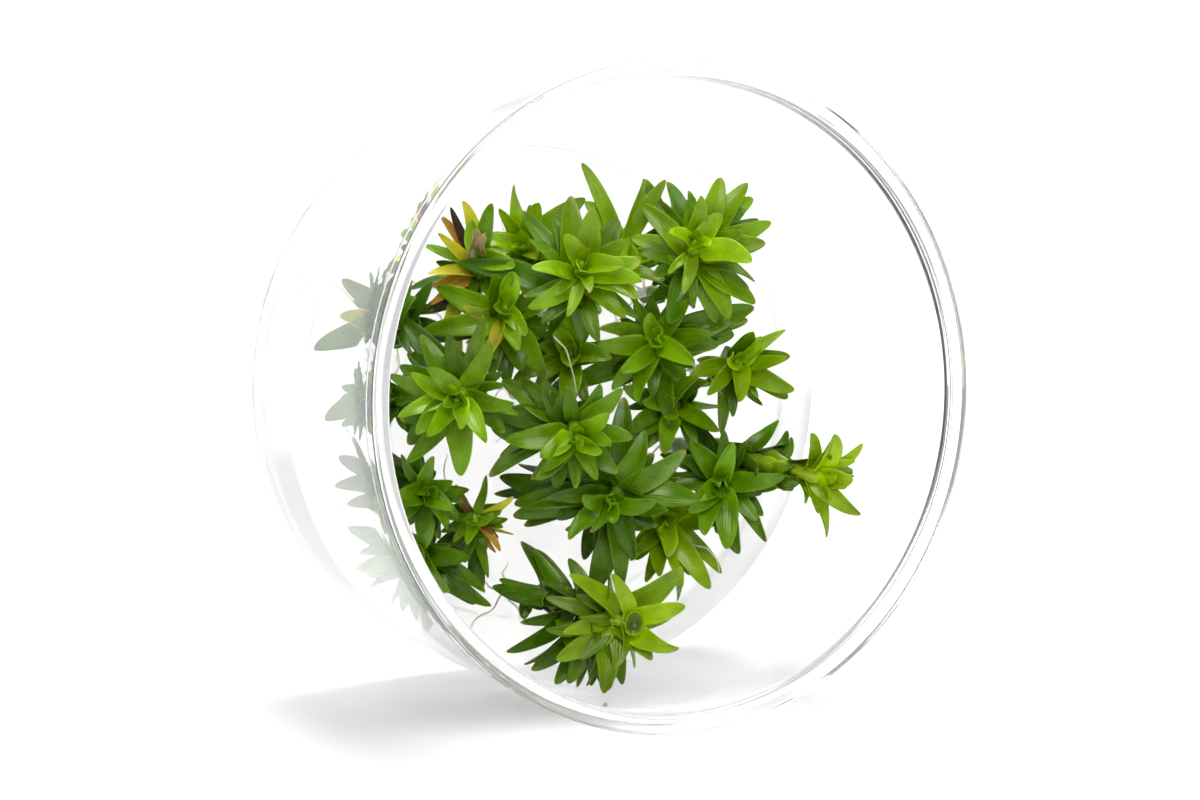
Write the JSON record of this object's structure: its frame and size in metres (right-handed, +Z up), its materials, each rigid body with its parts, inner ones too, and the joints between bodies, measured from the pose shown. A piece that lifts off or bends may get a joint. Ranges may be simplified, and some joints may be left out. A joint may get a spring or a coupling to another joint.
{
  "type": "tissue culture tonina fluviatilis",
  "caption": "Tissue-cultured Tonina fluviatilis: leafy shoots growing out of agar gel in a clear round cup with no lid, lying on its side.",
  "frame": {"origin": "on the floor, under the middle of the whole object", "axes": "+Z up. The cup lies on its side along Y: its mouth faces -Y and its foot +Y. +X is to the right as one looks into the mouth."},
  "size_m": [0.0996, 0.0636, 0.0995],
  "materials": {
    "clear_plastic": "clear polystyrene, polished",
    "agar_gel": "cloudy clear nutrient gel, wet",
    "leaf_green": "leaf, smooth with a soft gloss and fine lengthwise veins",
    "leaf_bright": "young leaf, yellow-green, soft gloss",
    "leaf_dark": "older leaf, dark green, soft gloss",
    "leaf_old": "old leaf, yellow to brown at places"
  },
  "bodies": {
    "root": {"cup": "clear_plastic", "gel": "agar_gel", "shoot_upper_middle": "leaf_green", "shoot_centre_front": "leaf_green", "shoot_middle_star": "leaf_green", "shoot_top_back": "leaf_green", "shoot_top_middle": "leaf_green", "shoot_left_front": "leaf_green", "shoot_upper_right": "leaf_green", "shoot_lower_front": "leaf_bright", "shoot_right_front": "leaf_bright", "shoot_right_middle": "leaf_bright", "shoot_lower_middle": "leaf_bright", "shoot_centre_star": "leaf_dark", "shoot_lower_right": "leaf_dark", "shoot_lower_left": "leaf_dark", "shoot_lower_left_wall": "leaf_dark", "shoot_middle_back": "leaf_dark", "shoot_right_back": "leaf_dark", "shoot_left_upper": "leaf_dark", "shoot_left_wall": "leaf_dark", "shoot_small_old": "leaf_old", "shoot_upper_left": "leaf_old", "shoot_left_back": "leaf_old"}
  },
  "joints": []
}
